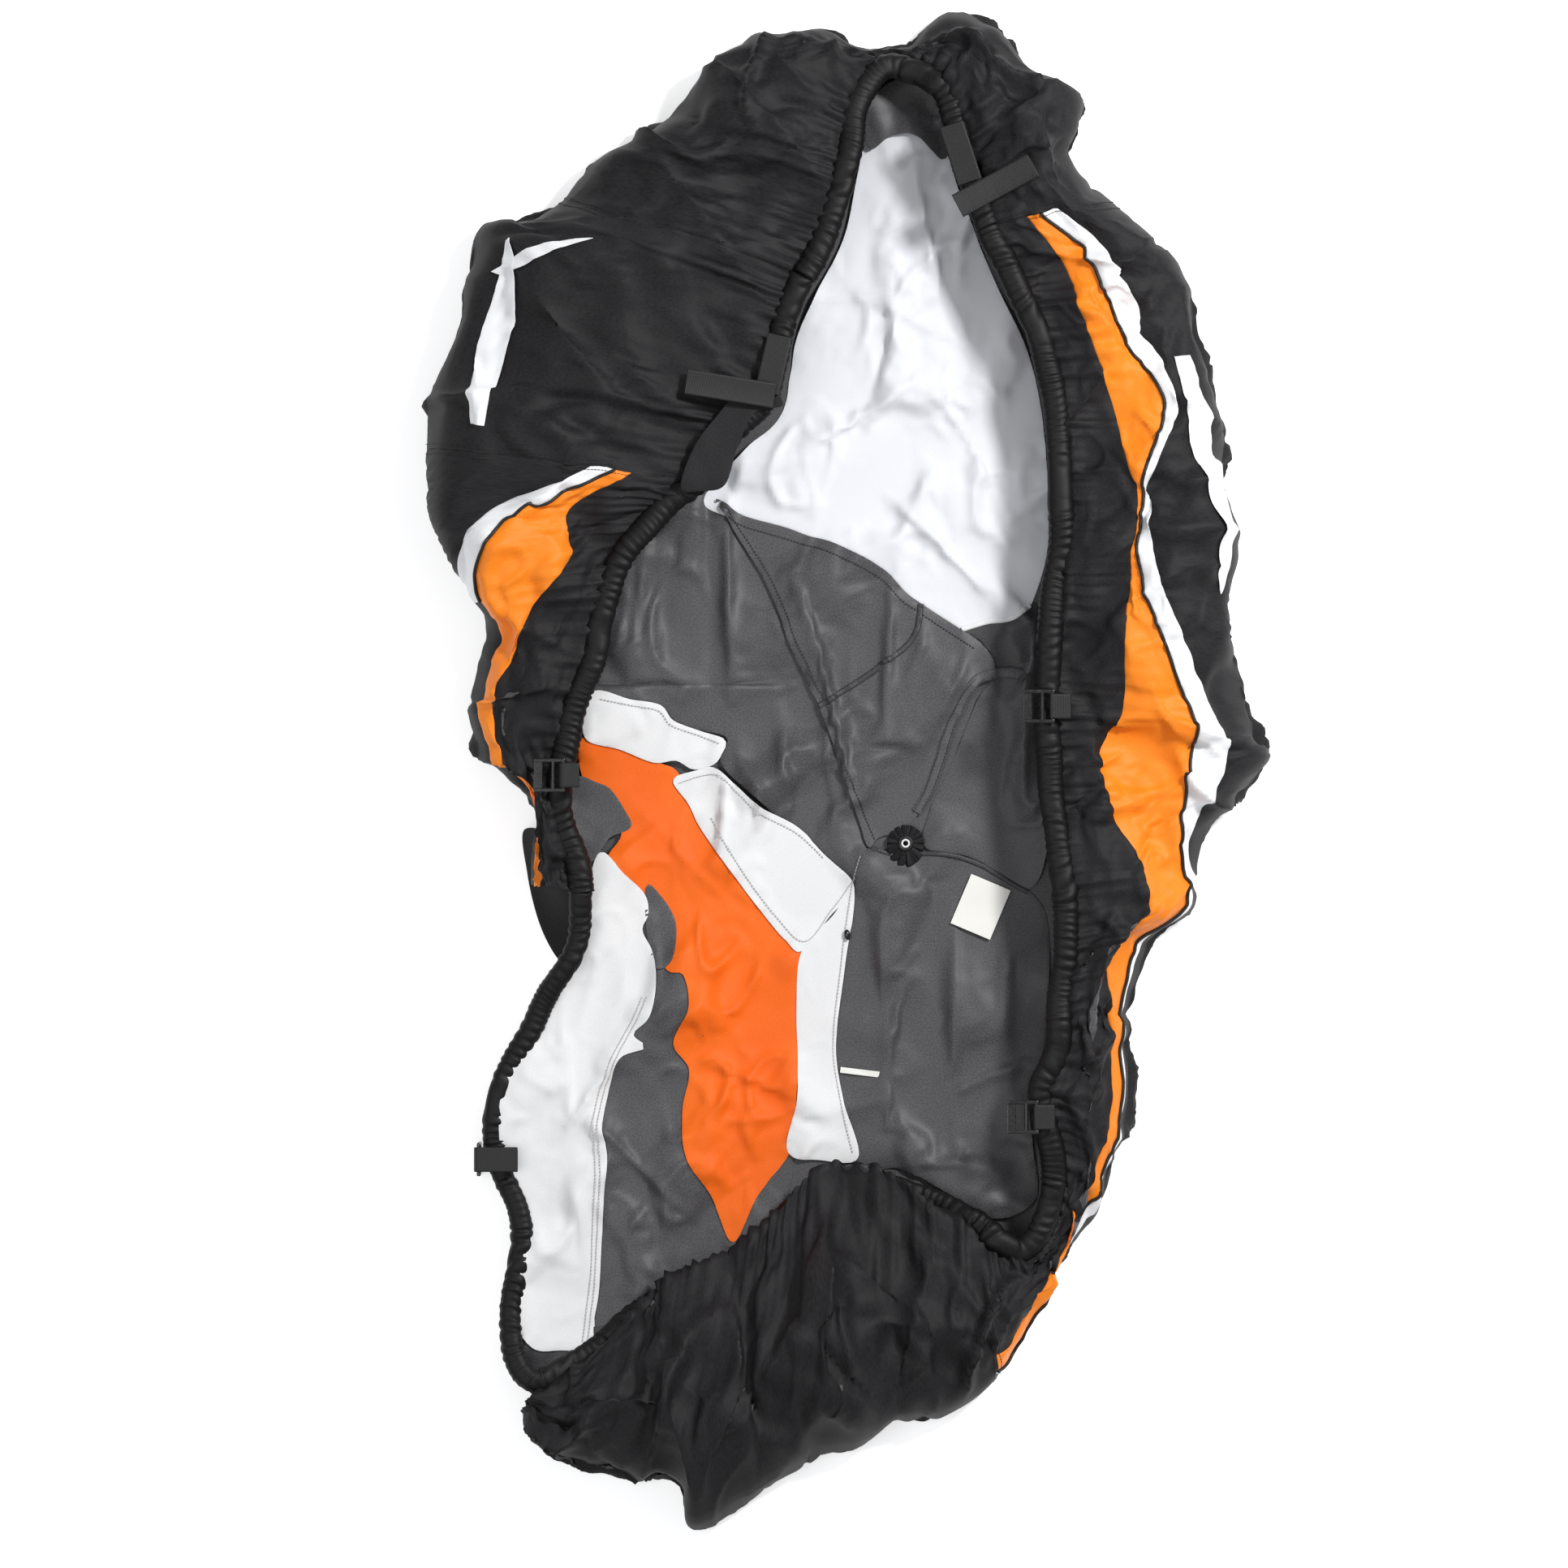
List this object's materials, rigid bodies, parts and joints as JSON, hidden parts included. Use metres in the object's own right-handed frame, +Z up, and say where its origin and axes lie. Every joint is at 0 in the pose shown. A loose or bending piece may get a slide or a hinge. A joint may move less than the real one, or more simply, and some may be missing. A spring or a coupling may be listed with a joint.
{
  "type": "fitted fabric cover",
  "caption": "Fitted fabric storage cover with a gathered elastic hem, lying mouth up: striped side panels, soft liner, webbing straps and ladder-lock buckles.",
  "frame": {"origin": "on the floor, under the middle of the laid cover's bounding box", "axes": "+Y along the cover towards its nose, +X to its right seen from above, +Z up out of its open mouth"},
  "size_m": [0.8692, 1.552, 0.1239],
  "materials": {
    "outer_cloth": "black woven polyester, matt",
    "grey_coated_cloth": "grey coated inner face, fine speckle",
    "white_liner": "soft white napped liner",
    "white_cloth": "white woven polyester",
    "orange_cloth": "orange woven polyester, slight sheen",
    "orange_coated_cloth": "orange inner face, slight sheen",
    "hem_cloth": "black gathered casing",
    "elastic": "braided elastic cord",
    "piping": "black corded piping",
    "webbing": "ribbed black webbing",
    "buckle_plastic": "moulded black acetal",
    "label_cloth": "white satin label tape"
  },
  "bodies": {
    "cover": {"crown_front": "outer_cloth", "crown_rear": "grey_coated_cloth", "soft_liner": "white_liner", "centre_flap": "grey_coated_cloth", "left_inner_panel": "grey_coated_cloth", "right_inner_panel": "grey_coated_cloth", "rear_inner_panel": "grey_coated_cloth", "open_white_band": "white_cloth", "open_orange_panel": "orange_coated_cloth", "open_middle_band": "white_cloth", "open_lower_band": "white_cloth", "open_white_panel": "white_cloth", "open_grey_panel": "grey_coated_cloth", "nose_panel": "outer_cloth", "left_shoulder_panel": "outer_cloth", "left_side_panel": "outer_cloth", "left_white_stripe": "white_cloth", "left_piping": "piping", "left_orange_stripe": "orange_cloth", "left_skirt": "outer_cloth", "right_side_panel": "outer_cloth", "right_white_stripe": "white_cloth", "right_piping": "piping", "right_orange_stripe": "orange_cloth", "right_skirt": "outer_cloth", "tail_panel": "outer_cloth", "hem_casing_front": "hem_cloth", "hem_casing_right": "hem_cloth", "hem_casing_rear": "hem_cloth", "hem_casing_left": "hem_cloth", "hem_elastic": "elastic", "port_gather": "hem_cloth", "port_ring": "buckle_plastic", "seam_bead": "buckle_plastic", "left_blade": "white_cloth", "right_blade": "white_cloth", "left_buckle_loop": "webbing", "open_buckle_loop": "webbing", "right_buckle_loop": "webbing", "rear_buckle_loop": "webbing", "side_strap_loop": "webbing", "side_gusset": "outer_cloth", "front_strap_loop": "webbing"},
    "left_buckle": {"left_buckle": "buckle_plastic"},
    "open_buckle": {"open_buckle": "buckle_plastic"},
    "right_buckle": {"right_buckle": "buckle_plastic"},
    "rear_buckle": {"rear_buckle": "buckle_plastic"},
    "side_strap_tail": {"side_strap_tail": "webbing"},
    "front_strap_tail": {"front_strap_tail": "webbing"},
    "care_label": {"care_label": "label_cloth"},
    "size_tag": {"size_tag": "label_cloth"}
  },
  "joints": [
    {"name": "left_buckle_swing", "type": "hinge", "parent": "cover", "child": "left_buckle", "pos_m": [-0.292, -0.004, 0.082], "axis": [0, 1, 0], "range_deg": [0, 100]},
    {"name": "open_buckle_swing", "type": "hinge", "parent": "cover", "child": "open_buckle", "pos_m": [-0.38, -0.398, 0.033], "axis": [0, 1, 0], "range_deg": [0, 120]},
    {"name": "right_buckle_swing", "type": "hinge", "parent": "cover", "child": "right_buckle", "pos_m": [0.206, 0.066, 0.104], "axis": [0, 1, 0], "range_deg": [0, 100]},
    {"name": "rear_buckle_swing", "type": "hinge", "parent": "cover", "child": "rear_buckle", "pos_m": [0.19, -0.352, 0.092], "axis": [0, 1, 0], "range_deg": [0, 100]},
    {"name": "side_strap_fold", "type": "hinge", "parent": "cover", "child": "side_strap_tail", "pos_m": [-0.076, 0.381, 0.1085], "axis": [0.1564, 0.9877, 0], "range_deg": [0, 100]},
    {"name": "front_strap_fold", "type": "hinge", "parent": "cover", "child": "front_strap_tail", "pos_m": [0.109, 0.574, 0.104], "axis": [0.4695, -0.8829, 0], "range_deg": [0, 100]},
    {"name": "label_fold", "type": "hinge", "parent": "cover", "child": "care_label", "pos_m": [0.146, -0.114, 0.0043], "axis": [-0.9205, 0.3907, 0], "range_deg": [0, 120]},
    {"name": "tag_fold", "type": "hinge", "parent": "cover", "child": "size_tag", "pos_m": [-0.009, -0.307, 0.0043], "axis": [-0.1219, -0.9925, 0], "range_deg": [0, 120]}
  ]
}
